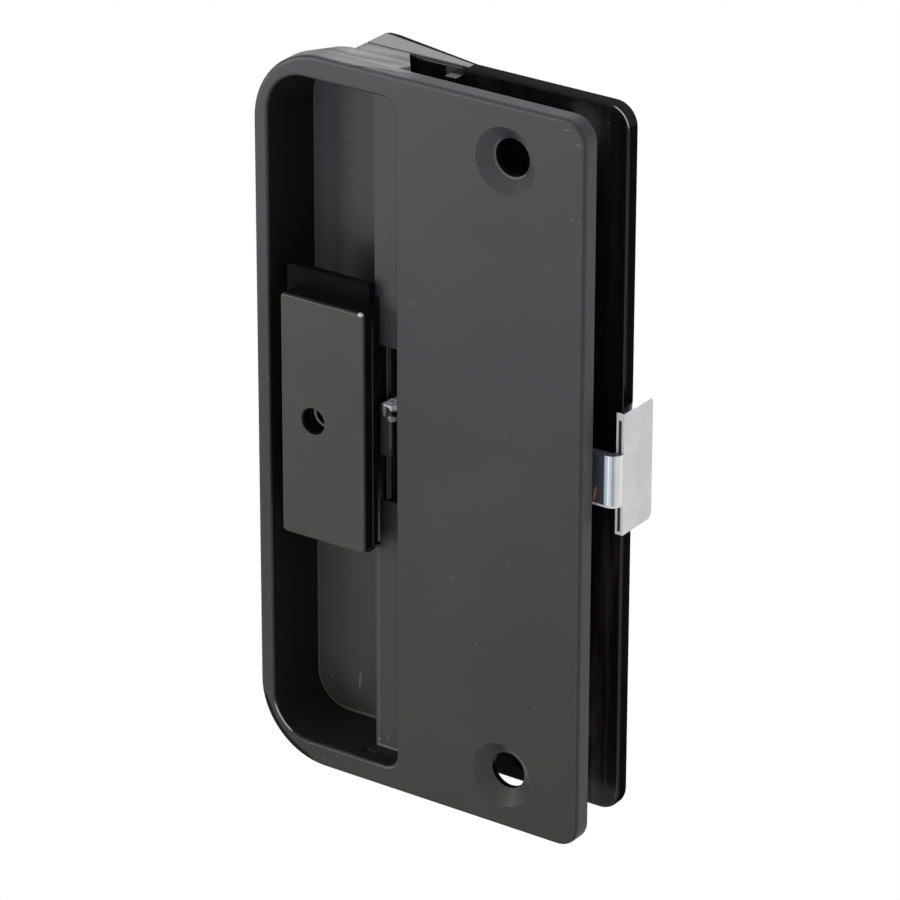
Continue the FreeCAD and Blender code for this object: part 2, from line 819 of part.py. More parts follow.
fill_sheet()
check_and_write([
    build_inside_housing(),
    build_outside_pull(),
    build_hinge_pin(),
    build_torsion_spring(),
    build_thumb_key(),
    build_latch_strip(),
])
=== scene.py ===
# %% [markdown]
# # Sliding screen door pull
#
# A black plastic inside housing with a finger recess, a satin thumb key and a bright plated latch
# strip, clamped to a glossy outside pull. The solids come from the imported part. This lesson gives
# them their materials, adds the small traces that moulding and use leave and much painted light and
# shade, lights them softly and sets the camera where the photograph was taken from.

# %% Read the frame
import math

import bmesh
import bpy
from mathutils import Matrix, Vector


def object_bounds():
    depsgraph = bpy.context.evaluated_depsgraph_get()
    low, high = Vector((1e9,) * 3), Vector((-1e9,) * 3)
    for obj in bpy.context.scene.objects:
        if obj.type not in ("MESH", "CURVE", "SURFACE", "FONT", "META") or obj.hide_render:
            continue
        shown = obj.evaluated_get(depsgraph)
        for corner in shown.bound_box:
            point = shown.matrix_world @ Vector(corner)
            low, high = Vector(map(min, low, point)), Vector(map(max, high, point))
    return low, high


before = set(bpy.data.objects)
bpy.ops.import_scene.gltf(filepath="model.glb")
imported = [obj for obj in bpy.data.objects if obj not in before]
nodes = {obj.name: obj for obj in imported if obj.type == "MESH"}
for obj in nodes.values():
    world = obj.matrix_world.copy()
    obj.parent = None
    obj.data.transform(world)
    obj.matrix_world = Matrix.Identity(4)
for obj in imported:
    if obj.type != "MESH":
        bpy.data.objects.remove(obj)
cad_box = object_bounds()
print("nodes:", sorted(nodes))

# %% [markdown]
# ## Places
#
# Everything is in metres, in the part's own frame: the origin is midway between the two screw holes,
# on the back of the face plate. X runs to the latch head, Y to the outside of the door, Z up. A ruler
# laid on the real pull starts at a corner, so places are written in millimetres from the housing's
# lower left front corner. That corner is read from the housing itself, so the places move with its
# edges, and three small functions turn them into millimetres from the origin.

# %% Named places
MM = 0.001
housing_points = [vertex.co for vertex in nodes["inside_housing"].data.vertices]
housing_corner = [min(point[axis] for point in housing_points) for axis in range(3)]
SCREW_X, FACE_BACK, HALF_HEIGHT = (round(-value / MM, 3) for value in housing_corner)
SCREW_HALF_STEP = 38.1
LATCH_RAISE = 1.0


def from_left(x):
    """A distance from the housing's left edge, as X from the origin."""
    return x - SCREW_X


def from_front(y):
    """A distance from the face of the housing, as Y from the origin."""
    return y - FACE_BACK


def from_foot(z):
    """A distance from the housing's lower edge, as Z from the origin."""
    return z - HALF_HEIGHT


def spot(x, y, z):
    """A point from the housing's lower left front corner, in metres."""
    return Vector((from_left(x), from_front(y), from_foot(z))) * MM


LOWER_HOLE = (SCREW_X, HALF_HEIGHT - SCREW_HALF_STEP)
UPPER_HOLE = (SCREW_X, HALF_HEIGHT + SCREW_HALF_STEP)
KEY_HOLE = (9.5, HALF_HEIGHT + LATCH_RAISE)
print("from the housing's corner to the origin:", SCREW_X, FACE_BACK, HALF_HEIGHT)

# %% [markdown]
# ## Arithmetic for materials
#
# A material is a chain of sums over the surface. It could be drawn node by node in the editor, but
# the sums are easier to read as ordinary arithmetic. In this small class, values add Math nodes,
# colours and vectors add Mix and Vector Math nodes, and `call` adds any other node.


# %% The socket class
class Flow:
    """One output socket, with arithmetic that adds the nodes it needs."""

    def __init__(self, tree, socket):
        self.tree = tree
        self.socket = socket

    def feed(self, target, value):
        """Link a value to an input, or write a constant into it."""
        if isinstance(value, Flow):
            self.tree.links.new(value.socket, target)
        else:
            target.default_value = value

    def call(self, kind, inputs=None, output=0, **settings):
        """Add a node, set its properties, feed its inputs and return one of its outputs."""
        node = self.tree.nodes.new(kind)
        for key, value in settings.items():
            setattr(node, key, value)
        for key, value in (inputs or {}).items():
            self.feed(node.inputs[key], value)
        return Flow(self.tree, node.outputs[output])

    def math(self, operation, other=0.0):
        """A Math node on this value and another."""
        return self.call("ShaderNodeMath", {0: self, 1: other}, operation=operation)

    def __add__(self, other):
        return self.math("ADD", other)

    def __sub__(self, other):
        return self.math("SUBTRACT", other)

    def __mul__(self, other):
        return self.math("MULTIPLY", other)

    def __truediv__(self, other):
        return self.math("DIVIDE", other)

    def __rsub__(self, other):
        return self.call("ShaderNodeMath", {0: other, 1: self}, operation="SUBTRACT")

    __radd__ = __add__
    __rmul__ = __mul__

    def below(self, limit):
        """1 where this value is less than the limit."""
        return self.math("LESS_THAN", limit)

    def above(self, limit):
        """1 where this value is greater than the limit."""
        return self.math("GREATER_THAN", limit)

    def clamp(self):
        """This value held between 0 and 1."""
        return self.call("ShaderNodeClamp", {"Value": self})

    def between(self, low, high, to_low=0.0, to_high=1.0, smooth=True):
        """Map low..high onto to_low..to_high, held flat outside that range."""
        kind = "SMOOTHSTEP" if smooth else "LINEAR"
        inputs = {"Value": self, "From Min": low, "From Max": high, "To Min": to_low, "To Max": to_high}
        return self.call("ShaderNodeMapRange", inputs, interpolation_type=kind)

    def blend(self, first, second):
        """A colour between two colours, with this value as the share of the second."""
        return self.call("ShaderNodeMix", {0: self, 6: first, 7: second}, output=2, data_type="RGBA")

    def scaled(self, factors):
        """A vector stretched along its three axes."""
        return self.call("ShaderNodeVectorMath", {0: self, 1: factors}, operation="MULTIPLY")

    def split(self):
        """The three parts of a vector."""
        node = self.call("ShaderNodeSeparateXYZ", {0: self}).socket.node
        return [Flow(self.tree, output) for output in node.outputs]

    def noise(self, scale, detail=2.0, roughness=0.5, distortion=0.0):
        """Noise sampled at this vector."""
        inputs = {"Vector": self, "Scale": scale, "Detail": detail, "Roughness": roughness,
                  "Distortion": distortion}
        return self.call("ShaderNodeTexNoise", inputs)

    def nearest(self, scale):
        """Distance to the nearest of many scattered points, and where that point is."""
        distance = self.call("ShaderNodeTexVoronoi", {"Vector": self, "Scale": scale}, feature="F1")
        return distance, Flow(self.tree, distance.socket.node.outputs["Position"])


print("socket arithmetic ready")

# %% [markdown]
# ## One material, many finishes
#
# Each solid of the pull has one material, but its surface isn't the same all over: a moulding is
# dark inside a recess, where shade falls, and pale where light falls on it. One material per finish
# would need the mesh divided, and the solids stay as they are. So each material starts with one shader
# and `join` lays further finishes and painted light and shade over it, each where a mask is 1.


# %% The material class
class Material:
    """A principled material whose parts are written one line at a time."""

    def __init__(self, name, finish):
        self.data = bpy.data.materials.new(name)
        self.data.use_nodes = True
        self.tree = self.data.node_tree
        self.shader = self.tree.nodes["Principled BSDF"]
        self.set_finish(self.shader, finish)
        start = Flow(self.tree, None)
        self.place = start.call("ShaderNodeTexCoord", output=3).scaled((1000.0, 1000.0, 1000.0))
        self.x, self.y, self.z = self.place.split()
        self.across, self.toward, self.upward = start.call("ShaderNodeTexCoord", output=1).split()

    @staticmethod
    def set_finish(shader, finish):
        """Write the constants of a finish into a shader's sockets."""
        for key, value in finish.items():
            shader.inputs[key].default_value = value

    def connect(self, name, flow):
        """Feed one socket of the first shader."""
        self.tree.links.new(flow.socket, self.shader.inputs[name])

    def join(self, mask, finish):
        """Mix in a second principled shader where the mask is 1."""
        second = self.tree.nodes.new("ShaderNodeBsdfPrincipled")
        self.set_finish(second, finish)
        mix = self.tree.nodes.new("ShaderNodeMixShader")
        output = self.tree.nodes["Material Output"]
        first = output.inputs[0].links[0].from_socket
        self.tree.links.new(mask.socket, mix.inputs[0])
        self.tree.links.new(first, mix.inputs[1])
        self.tree.links.new(second.outputs[0], mix.inputs[2])
        self.tree.links.new(mix.outputs[0], output.inputs[0])

    def bump(self, height, strength, distance, under=None):
        """Raise the surface by a height field; the distance is in metres."""
        inputs = {"Height": height, "Strength": strength, "Distance": distance}
        if under is not None:
            inputs["Normal"] = under
        return height.call("ShaderNodeBump", inputs)


print("material class ready")

# %% [markdown]
# ## Masks
#
# A mask says where a finish lies. It could be painted by hand on an unwrapped mesh. A mask made of
# sums needs no unwrapping, and its places can be read and changed. These masks use the place on the
# part in millimetres and the way the surface faces: `across` to the right, `toward` the outside and
# `upward`, each from -1 to 1.


# %% Mask helpers
def side_on(material, limit):
    """1 where the surface stands upright to the face, 0 where it lies along it."""
    return (material.toward * material.toward).below(limit * limit)


def band(flow, low, high, soft=0.08):
    """1 between two limits, with soft ends."""
    return flow.between(low - soft, low + soft) * flow.between(high + soft, high - soft)


def oval(material, centre, reach, lean=0.0):
    """1 in the middle of an oval spot on an upright face, fading to 0 at its rim."""
    along = (material.x - from_left(centre[0])) / reach[0]
    rise = (material.z - from_foot(centre[1])) / reach[1]
    rise = rise - along * lean
    return (along * along + rise * rise).between(1.0, 0.3)


def ring_gap(material, centre):
    """Distance from an axis that runs along Y through a point of the face."""
    along = material.x - from_left(centre[0])
    rise = material.z - from_foot(centre[1])
    return (along * along + rise * rise).math("SQRT")


def corner_gap(material, left, foot, radius):
    """Distance inward from a left side, its rounded lower corner and its foot."""
    beside = (left + radius - material.x).math("MAXIMUM", 0.0)
    below = (foot + radius - material.z).math("MAXIMUM", 0.0)
    return radius - (beside * beside + below * below).math("SQRT")


def lower_left(material, centre, limit):
    """1 on the lower left side of a point of the face."""
    return (material.x - from_left(centre[0]) + material.z - from_foot(centre[1])).below(limit)


print("masks ready")

# %% [markdown]
# ## Moulded black plastic
#
# The housing and the key are matte black mouldings. Such a surface isn't quite even: slow shading
# where the plastic cooled, a very fine grain from the mould and a few pale specks of dust. A plain
# black would look like a cut-out, so two sizes of noise carry the tone, the gloss and the bumps. The
# photograph shows the plastic lighter and bluer above and darker and browner below, so each tone has
# two ends: painted light above and painted shade below.


# %% Plastic base
DUST = (0.30, 0.30, 0.29, 1.0)
CUP_TOP_END = from_left(19.0)
PLATE_TOP_START = from_left(23.0)


def specks(material, scale, size, share):
    """Small sparse dots: 1 inside a dot, 0 elsewhere."""
    distance, point = material.place.nearest(scale)
    chosen = point.call("ShaderNodeTexWhiteNoise", {"Vector": point}, noise_dimensions="3D")
    return distance.between(size, size * 0.4) * chosen.below(share)


def moulded_plastic(name, shaded_low_tones, lit_high_tones, rough, grain):
    """Matte moulded plastic; each pair of tones is dark and light, the lower end painted shade and the
    upper end painted light.
    """
    material = Material(name, {"IOR": 1.5})
    slow = material.place.noise(0.045, 3.0, 0.55)
    fine = material.place.noise(2.6, 4.0, 0.65)
    dots = specks(material, scale=0.9, size=0.13, share=0.035)
    shade = (slow * 0.75 + fine * 0.25).between(0.35, 0.65)
    height = material.z.between(-HALF_HEIGHT, HALF_HEIGHT, smooth=False)
    # The tone blends by height from painted shade below to painted light above.
    tone = height.blend(shade.blend(*shaded_low_tones), shade.blend(*lit_high_tones))
    material.tone = (dots * 0.30).blend(tone, DUST)
    material.connect("Base Color", material.tone)
    top = material.upward.between(0.55, 0.85)
    material.plate_top = top * material.x.between(CUP_TOP_END, PLATE_TOP_START)
    material.cup_top = top * (1.0 - material.plate_top)
    uneven = (slow - 0.5) * 0.14 + (fine - 0.5) * 0.20
    material.connect("Roughness", uneven + rough + material.plate_top * 0.22)
    material.ripple = material.place.scaled((0.35, 1.0, 1.0)).noise(0.22, 1.0, 0.5, 0.4) - 0.5
    wave = material.place.noise(0.16, 2.0, 0.5)
    normal = material.bump(wave * 0.5 + fine * grain, 0.35, 0.00008)
    material.connect("Normal", material.bump(material.ripple * material.cup_top, 0.5, 0.0016, normal))
    return material


print("plastic ready")

# %% [markdown]
# ## Colours of the black plastic
#
# The eye tells the finishes on one black part apart by how much light they send back, not by hue. The
# blacks are painted shade, like the walls of the recess, and have hardly any specular share. The mark
# grey is for scuffs and flash, and the other pale ones are painted highlights and glints.

# %% Plastic finishes
# The first three blacks below are painted shade; of the greys, all but the mark grey are painted
# highlights.
SHADE_BLACK = {"Base Color": (0.0060, 0.0060, 0.0063, 1.0), "Roughness": 0.22, "Specular IOR Level": 0.03}
RECESS_SHADE = {"Base Color": (0.0125, 0.0135, 0.0128, 1.0), "Roughness": 0.30, "Specular IOR Level": 0.05}
TOP_SHADE_BLACK = {"Base Color": (0.0280, 0.0280, 0.0300, 1.0), "Roughness": 0.60, "Specular IOR Level": 0.0}
SIDE_HIGHLIGHT_GREY = {"Base Color": (0.0600, 0.0600, 0.0480, 1.0), "Roughness": 0.50, "Specular IOR Level": 0.30}
MARK_GREY = {"Base Color": (0.160, 0.160, 0.150, 1.0), "Roughness": 0.50}
BORE_HIGHLIGHT = {"Base Color": (0.130, 0.140, 0.125, 1.0), "Roughness": 0.50}
HOLE_RIM_HIGHLIGHT = {"Base Color": (1.0, 1.0, 1.0, 1.0), "Roughness": 0.50}
GLINT = {"Base Color": (0.6500, 0.6500, 0.6300, 1.0), "Roughness": 0.35, "Specular IOR Level": 0.50}
# The lower tones are painted shade and the upper, lighter tones painted light.
HOUSING_LOW_SHADED = ((0.0140, 0.0142, 0.0126, 1.0), (0.0182, 0.0185, 0.0164, 1.0))
HOUSING_HIGH_LIT = ((0.0220, 0.0213, 0.0262, 1.0), (0.0266, 0.0258, 0.0312, 1.0))
KEY_LOW_SHADED = ((0.0225, 0.0232, 0.0190, 1.0), (0.0272, 0.0280, 0.0233, 1.0))
KEY_HIGH_LIT = ((0.0315, 0.0307, 0.0276, 1.0), (0.0368, 0.0359, 0.0324, 1.0))
print("housing tones:", HOUSING_LOW_SHADED, HOUSING_HIGH_LIT)

# %% [markdown]
# ## Screw holes
#
# Two countersunk holes take the screws. Their cones catch light on the left, and on the right only
# above the bore. The bores are painted dark as shade, and a painted highlight runs round the lower
# left of the upper one. The light in the scene is even, so the cones get these shares of a paler tone
# as painted light.

# %% Screw hole masks
COUNTERSINK_REACH = 4.1
BORE_REACH = 2.29
BORE_HIGHLIGHT_RING = (2.33, 2.44)
LEFT_SHARE = 0.42
# Each hole's middle, and the paler share on the right side of its cone
COUNTERSINKS = ((LOWER_HOLE, 0.45), (UPPER_HOLE, 1.0))


def countersink_light(material):
    """Where the cones of the countersinks are paler."""
    cone = (material.toward * material.toward).below(0.9)
    upper_half = material.upward.between(0.30, -0.30, 0.15, 1.0)
    left = material.across.between(0.0, 0.6, 0.0, LEFT_SHARE)
    shares = []
    for centre, right_share in COUNTERSINKS:
        here = ring_gap(material, centre).below(COUNTERSINK_REACH) * cone
        right = material.across.between(0.0, -0.6, 0.0, right_share) * upper_half
        shares.append(here * (right + left))
    return sum(shares)


def paint_bore_shade_and_highlight(material):
    """Painted shade on the walls inside the screw holes, and a painted highlight round the upper one."""
    for centre in (LOWER_HOLE, UPPER_HOLE):
        bore = ring_gap(material, centre).below(BORE_REACH)
        # Painted shade on the bore's wall.
        material.join(bore * side_on(material, 0.3), SHADE_BLACK)
    # A painted highlight round the lower left of the upper bore's edge.
    highlight_share = band(ring_gap(material, UPPER_HOLE), *BORE_HIGHLIGHT_RING, 0.05)
    facing = (material.x + material.z - SCREW_HALF_STEP).between(0.9, -0.6)
    material.join(highlight_share * facing * side_on(material, 0.95), BORE_HIGHLIGHT)


print("screw holes at", LOWER_HOLE, UPPER_HOLE)

# %% [markdown]
# ## Front of the housing
#
# Seen from the front, the housing has four levels of grey: the face, the ledge, the floor of the
# recess and its walls. The floor's deep left side would come out too dark in this room, so painted
# light gives it a paler tone there, and the ledge above its middle too. Painted highlights run down
# the lower half of the ledge's left side and along the middle of the opening's right edge. Thin pale
# lines of flash run round the floor and at the ledge's end, and a few scuffs lie on the face. They are
# far too thin to model, so they are masks too.

# %% Front of the housing
FACE_DEPTH = from_front(0.3)
LEDGE_LEFT = from_left(15.4)
LEDGE_BORDER = from_left(15.5)
LEDGE_RIGHT = from_left(19.9)
LEDGE_END = from_foot(3.9)
LEDGE_BRIGHT = (from_foot(50.8), from_foot(62.3))
FLOOR_DEPTH = from_front(7.9)
FLOOR_EDGE = from_left(2.6)
FLOOR_FOOT = from_foot(3.65)
FLOOR_CORNER = 4.2
FLOOR_SHADE = (from_left(10.5), from_left(4.5))
FLOOR_LINE_RISE = (from_foot(16.8), from_foot(8.8))
FLOOR_LINE = 0.32
FLASH = 0.3
OPENING_EDGE = from_left(19.75)
OPENING_LINE = 0.22
OPENING_MIDDLE = (from_foot(35.8), from_foot(55.8))
PALER = 3.2
# Each small pale mark: its middle, its half sizes and its lean
FACE_MARKS = (
    ((42.5, 88.35), (0.70, 0.14), 0.0),
    ((44.0, 87.00), (0.38, 0.16), 0.2),
    ((43.3, 78.05), (0.22, 0.20), 0.0),
    ((44.2, 77.90), (0.16, 0.20), 0.0),
    ((22.1, 62.85), (0.24, 0.22), 0.0),
    ((4.86, 7.55), (0.42, 0.18), 2.1),
    ((8.85, 8.10), (0.24, 1.15), 0.8),
    ((15.70, 4.75), (0.34, 0.30), 0.0),
    ((17.00, 5.40), (0.14, 0.55), 0.4),
    ((7.3, 77.00), (0.24, 0.14), 0.6),
    ((8.1, 72.95), (0.50, 0.11), -0.5),
)


def find_levels(material):
    """Find the surfaces that face the front, the floor of the recess and the ledge."""
    material.front = material.toward.below(-0.9)
    material.behind_face = material.y.above(FACE_DEPTH)
    left_of_ledge = material.x.below(LEDGE_LEFT)
    material.floor = material.front * material.y.above(FLOOR_DEPTH - 0.3) * left_of_ledge
    beside_floor = (1.0 - left_of_ledge) * material.x.below(LEDGE_RIGHT)
    material.ledge = material.front * material.behind_face * beside_floor


def mark_front(material):
    """Painted light and highlights on the front and the flash at the ledge's end, then the flash lines and
    the scuffs.
    """
    # Painted light on the deep left of the floor and on the ledge above its middle.
    floor_light = material.floor * material.x.between(*FLOOR_SHADE, 0.12, 0.95, False)
    ledge_light = material.ledge * band(material.z, *LEDGE_BRIGHT, 2.0) * 0.85
    # A painted highlight down the lower half of the ledge's left side, joined to the flash at its end.
    ledge_side = band(material.x, LEDGE_BORDER, LEDGE_BORDER + FLASH) * material.z.below(0.0)
    ledge_line = material.ledge * (band(material.z, LEDGE_END, LEDGE_END + FLASH) + ledge_side * 0.22)
    # A painted highlight along the middle of the opening's right edge.
    opening_line = material.front * band(material.x, OPENING_EDGE, OPENING_EDGE + OPENING_LINE)
    opening_line = opening_line * band(material.z, *OPENING_MIDDLE, 0.3) * 0.3
    lighter = floor_light + ledge_light + ledge_line + opening_line + countersink_light(material)
    pale = material.tone.scaled((PALER, PALER, PALER))
    material.connect("Base Color", lighter.clamp().blend(material.tone, pale))
    floor_line = band(corner_gap(material, FLOOR_EDGE, FLOOR_FOOT, FLOOR_CORNER), 0.0, FLOOR_LINE)
    marks = material.floor * floor_line * material.z.between(*FLOOR_LINE_RISE, 0.25, 0.6)
    marks = marks + ledge_line * 0.35
    share = material.front * 0.32 + material.floor * 0.25
    for centre, reach, lean in FACE_MARKS:
        marks = marks + oval(material, centre, reach, lean) * share
    material.join(marks.clamp(), MARK_GREY)


print("marks on the front:", len(FACE_MARKS))

# %% [markdown]
# ## Top of the housing
#
# Behind the face plate one looks down on the top of the cup. The moulding is wavy there, with one
# crease that slants to the outside as it runs to the right. The waves are in the base's bumps. The
# crease is a thin line of painted shade across Y, bent by noise, because a ruled line would look
# drawn. Painted shade also darkens the shoulder, parts of the waves, the plate's top and the right
# end of the cup's top.

# %% Top of the housing
CREASE_START = (from_left(12.9), from_front(0.0))
CREASE_SLANT = 0.20
SHOULDER = (from_left(11.0), from_left(7.5))
CUP_END = (from_left(18.0), from_left(18.8))
CUP_FRONT = from_front(2.4)


def shade_top(material):
    """Painted shade along the crease, on the shoulder, the waves and the plate's top, and at the right end
    of the cup's top.
    """
    wobble = material.place.noise(0.5, 1.0) * 0.6 - 0.3
    slant = (material.x - CREASE_START[0]) * CREASE_SLANT
    crease = material.y + wobble - slant - CREASE_START[1]
    line = band(crease, -0.16, 0.16, 0.10) * 0.45 + crease.between(0.1, -0.1) * 0.22
    shoulder = material.x.between(*SHOULDER) * 0.40 + material.ripple.between(0.02, 0.12) * 0.25
    # Painted shade on the crease, the shoulder, parts of the waves and the plate's top.
    top_shade = material.plate_top * 0.12 + material.cup_top * (line + shoulder)
    material.join(top_shade.clamp(), TOP_SHADE_BLACK)
    # Painted shade at the right end of the cup's top.
    cup_end = material.x.between(*CUP_END) * material.y.above(CUP_FRONT)
    material.join(material.upward.above(0.6) * cup_end * 0.85, TOP_SHADE_BLACK)


print("crease starts at", CREASE_START)

# %% [markdown]
# ## Recess and outer edge
#
# The walls of the finger recess, and the wall below the ledge's end, are smooth and painted almost
# black as shade, since little light gets in between fingers. The rim has a painted glint inside its
# lower left corner and painted shade along its outer edge beside it, where the rounding turns away.
# Both are laid on as colour, so they stay where the photograph has them when the light changes.

# %% Recess and outer edge
RECESS_MIDDLE = from_left(9.0)
RECESS_MOUTH = (from_front(0.25), from_front(0.45))
LEDGE_SIDE = from_left(15.2)
RIM_GLINT = ((3.0, 4.6), (2.1, 2.4))
DARK_CORNER = ((2.6, 2.6), (6.5, 6.5))
OUTER_CORNER = 9.2
EDGE_DEPTH = from_front(0.5)


def darken_recess(material):
    """Painted shade on the walls, and a painted glint on the rim's rounding."""
    inward = material.across * (material.x - RECESS_MIDDLE) + material.upward * material.z
    wall = inward.below(-0.5) * side_on(material, 0.75)
    inside = material.y.between(*RECESS_MOUTH) * material.x.below(LEDGE_RIGHT)
    below_ledge = material.behind_face * band(material.x, LEDGE_SIDE, LEDGE_RIGHT, 0.02)
    below_ledge = below_ledge * material.z.below(LEDGE_END)
    # Painted shade on the recess walls and below the ledge's end.
    material.join((wall * inside + below_ledge).clamp(), RECESS_SHADE)
    rounding = inward.below(-0.2) * band(material.toward, -0.88, -0.66, 0.06)
    rounding = rounding * (1.0 - material.behind_face)
    material.join(rounding * oval(material, *RIM_GLINT) * 0.8, GLINT)


def darken_outer_edge(material):
    """Painted shade along the outer edge, widest at the lower left corner."""
    width = oval(material, *DARK_CORNER) * 0.70 + 0.16
    gap = corner_gap(material, from_left(0.0), from_foot(0.0), OUTER_CORNER)
    edge = (width - gap).between(-0.05, 0.05) * material.y.below(EDGE_DEPTH)
    edge = edge * material.toward.below(-0.2)
    # Painted shade along the outer edge.
    material.join(edge * 0.85, SHADE_BLACK)


print("recess middle at", RECESS_MIDDLE)

# %% [markdown]
# ## Housing plastic
#
# Now the housing gets its one material. The finishes and the painted light and shade go on in this
# order because a later one hides an earlier one where they meet, such as the painted shade of the
# recess wall over the marks of the front.


# %% Housing plastic
def housing_material():
    """The housing's plastic with all its traces and painted light and shade, the later ones over the
    earlier.
    """
    material = moulded_plastic("moulded_black", HOUSING_LOW_SHADED, HOUSING_HIGH_LIT, rough=0.44, grain=0.22)
    find_levels(material)
    mark_front(material)
    shade_top(material)
    darken_recess(material)
    darken_outer_edge(material)
    paint_bore_shade_and_highlight(material)
    return material.data


housing_plastic = housing_material()
print("housing plastic:", len(housing_plastic.node_tree.nodes), "nodes")

# %% [markdown]
# ## Thumb key
#
# The key is the same plastic, polished a little by thumbs. Its pad is satin, the skirt behind the
# pad and the faces that tilt upward are painted dark as shade, and one painted highlight runs down
# the right side. Through its hole one sees the border of the steel behind it as a white sickle, a
# painted highlight on the hole's far border, and the pad's upper right corner has a small painted glint.

# %% Key plastic
PAD_FACE = from_front(-2.0)
SIDE_LINE = (from_front(-0.27), from_front(-0.07))
SIDE_LINE_HEIGHT = (from_foot(30.8), from_foot(58.8))
SICKLE_DEPTH = (from_front(0.42), from_front(0.90))
SICKLE_REACH = 1.75
PAD_GLINT = ((16.20, 60.70), (0.42, 0.26))


def key_material():
    """The key's satin plastic, with painted shade on its smooth skirt and upward faces, and painted
    highlights.
    """
    material = moulded_plastic("key_black", KEY_LOW_SHADED, KEY_HIGH_LIT, rough=0.36, grain=0.12)
    skirt = material.y.between(PAD_FACE + 0.30, PAD_FACE + 0.50)
    # Painted shade on the skirt behind the pad.
    material.join(skirt, SHADE_BLACK)
    # A painted highlight down the right side.
    side_line = band(material.y, *SIDE_LINE, 0.06) * material.across.above(0.6)
    material.join(side_line * band(material.z, *SIDE_LINE_HEIGHT, 1.0), SIDE_HIGHLIGHT_GREY)
    # Painted shade on faces that tilt upward.
    material.join(material.upward.between(0.25, 0.5) * 0.75, SHADE_BLACK)
    # A painted highlight on the hole's far border, where the steel's rim shows.
    sickle = ring_gap(material, KEY_HOLE).below(SICKLE_REACH) * band(material.y, *SICKLE_DEPTH, 0.03)
    material.join(sickle * lower_left(material, KEY_HOLE, 0.3), HOLE_RIM_HIGHLIGHT)
    material.join(oval(material, *PAD_GLINT) * (1.0 - skirt) * 0.8, GLINT)
    return material.data


key_plastic = key_material()
print("key plastic:", len(key_plastic.node_tree.nodes), "nodes")

# %% [markdown]
# ## Polished outside pull
#
# The outside pull comes from a polished mould, so it mirrors the room in upright streaks. A texture
# stretched along Z gives those streaks, as a painted reflection in the tone and as unevenness in the
# gloss, and a little brown shows low on its front, as in the photograph.

# %% Glossy plastic base
PULL_FINISH = {"IOR": 1.5, "Specular IOR Level": 0.35}
STREAK_DARK = (0.0060, 0.0060, 0.0064, 1.0)
STREAK_LIGHT = (0.0125, 0.0123, 0.0120, 1.0)
STREAK_BROWN = (0.0330, 0.0290, 0.0220, 1.0)
BROWN_START = (from_foot(41.8), from_foot(35.8))


def gloss_base():
    """Glossy black with upright streaks of painted reflection, specks of dust and a slow wave."""
    material = Material("gloss_black", PULL_FINISH)
    slow = material.place.noise(0.05, 2.0, 0.5)
    streak = material.place.scaled((1.0, 1.0, 0.04)).noise(0.7, 3.0, 0.6)
    fine = material.place.noise(3.0, 3.0, 0.6)
    dots = specks(material, scale=0.9, size=0.12, share=0.03)
    material.front = material.toward.below(-0.9)
    # The streaks in the tone are a painted reflection.
    tone = streak.between(0.40, 0.72).blend(STREAK_DARK, STREAK_LIGHT)
    brown = material.z.between(*BROWN_START) * streak.between(0.52, 0.66) * material.front
    tone = brown.blend(tone, STREAK_BROWN)
    material.connect("Base Color", (dots * 0.3).blend(tone, DUST))
    material.connect("Roughness", streak.between(0.35, 0.7, 0.12, 0.24) + (fine - 0.5) * 0.06)
    material.connect("Normal", material.bump(slow * 0.8 + fine * 0.03, 0.25, 0.00012))
    return material


print("gloss base ready")

# %% [markdown]
# ## Edges of the outside pull
#
# Only the plate's edges, the wedge grip and the locating rib show beside the housing. The top of the
# grip is painted a pale grey as light from above, with a line of painted shade along its outer edge.
# The rib's end and a strip beside it are painted grey as light. The plate's sides and top, and its
# part behind the lower screw hole, are painted black as shade, and one painted arc of light runs round
# its upper right corner.

# %% Glossy plastic
GRIP_SLOPE = 0.1875
GRIP_EDGE = 6.4625
GRIP_END = from_left(23.4)
GRIP_FRONT = from_front(8.8)
PLATE_START = from_left(22.6)
RIB_BACK = from_front(8.0)
RIB_TOP = (from_left(21.6), from_left(23.3))
RIB_SIDE = (from_left(20.5), from_left(21.9))
SEEN_THROUGH = (from_left(40.5), from_foot(6.8))
# The two greys are painted light and the two blacks painted shade.
GRIP_TOP_LIGHT = {"Base Color": (0.050, 0.049, 0.055, 1.0), "Roughness": 0.42}
RIB_LIGHT_GREY = {"Base Color": (0.070, 0.070, 0.062, 1.0), "Roughness": 0.55, "Specular IOR Level": 0.12}
GLOSS_TOP_SHADE = {"Base Color": (0.021, 0.021, 0.022, 1.0), "Roughness": 0.50, "Specular IOR Level": 0.0}
GLOSS_SIDE_SHADE = {"Base Color": (0.006, 0.006, 0.006, 1.0), "Roughness": 0.50, "Specular IOR Level": 0.0}


def paint_plate_shade_and_glint(material):
    """Painted shade on the plate's sides, its top and its part behind the lower screw hole, and a painted
    glint on its corner.
    """
    plate = material.x.above(PLATE_START)
    # Painted shade on the sides and the top.
    material.join(side_on(material, 0.60) * plate, GLOSS_SIDE_SHADE)
    material.join(material.upward.between(0.10, 0.30) * plate, GLOSS_TOP_SHADE)
    # Painted shade on the part behind the lower screw hole.
    behind_hole = material.z.below(SEEN_THROUGH[1]) * material.x.below(SEEN_THROUGH[0])
    material.join(behind_hole * material.front, SHADE_BLACK)
    # A painted glint on the upper right corner.
    corner = material.across.between(0.10, 0.25) * material.upward.between(0.05, 0.15)
    material.join(corner * band(material.toward, -0.86, -0.74, 0.04), GLINT)


